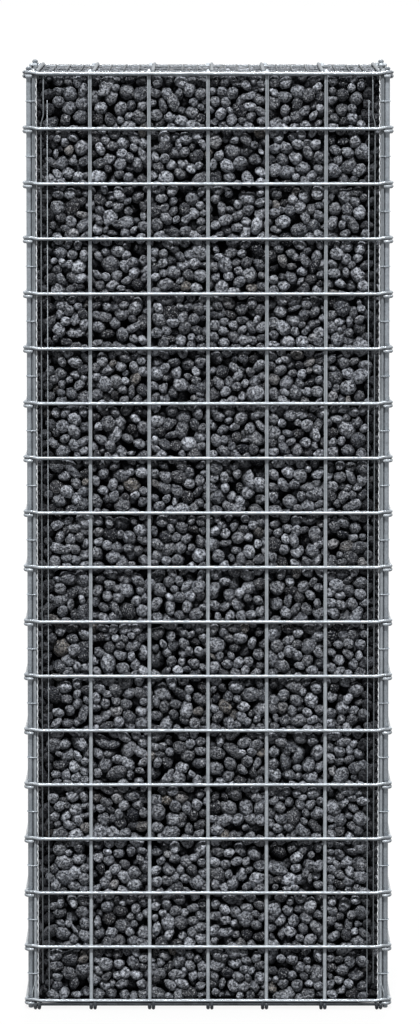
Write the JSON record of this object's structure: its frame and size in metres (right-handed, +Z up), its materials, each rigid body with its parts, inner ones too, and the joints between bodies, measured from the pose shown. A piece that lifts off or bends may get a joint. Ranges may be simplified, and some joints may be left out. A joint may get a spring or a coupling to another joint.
{
  "type": "gabion wall",
  "caption": "Free-standing gabion wall: a cage of welded wire panels plugged together with rods, filled with dark rounded stone.",
  "frame": {"origin": "centre of the footprint, in the plane the wall stands on", "axes": "+Z up, +X along the wall, the front faces -Y"},
  "size_m": [0.629, 0.3344, 1.6167],
  "materials": {
    "galvanised_wire": "dull galvanised",
    "galvanised_rod": "dull galvanised",
    "stone": "rough"
  },
  "bodies": {
    "root": {"front_panel": "galvanised_wire", "back_panel": "galvanised_wire", "left_panel": "galvanised_wire", "right_panel": "galvanised_wire", "base_panel": "galvanised_wire", "lid_panel": "galvanised_wire", "corner_rod_front_left": "galvanised_rod", "corner_rod_front_right": "galvanised_rod", "corner_rod_back_left": "galvanised_rod", "corner_rod_back_right": "galvanised_rod", "foot_rod_front": "galvanised_rod", "foot_rod_back": "galvanised_rod", "head_rod_front": "galvanised_rod", "head_rod_back": "galvanised_rod", "foot_rod_left": "galvanised_rod", "foot_rod_right": "galvanised_rod", "head_rod_left": "galvanised_rod", "head_rod_right": "galvanised_rod", "stone_lift_1": "stone", "stone_lift_2": "stone", "stone_lift_3": "stone", "stone_lift_4": "stone", "stone_lift_5": "stone", "stone_lift_6": "stone"}
  },
  "joints": []
}
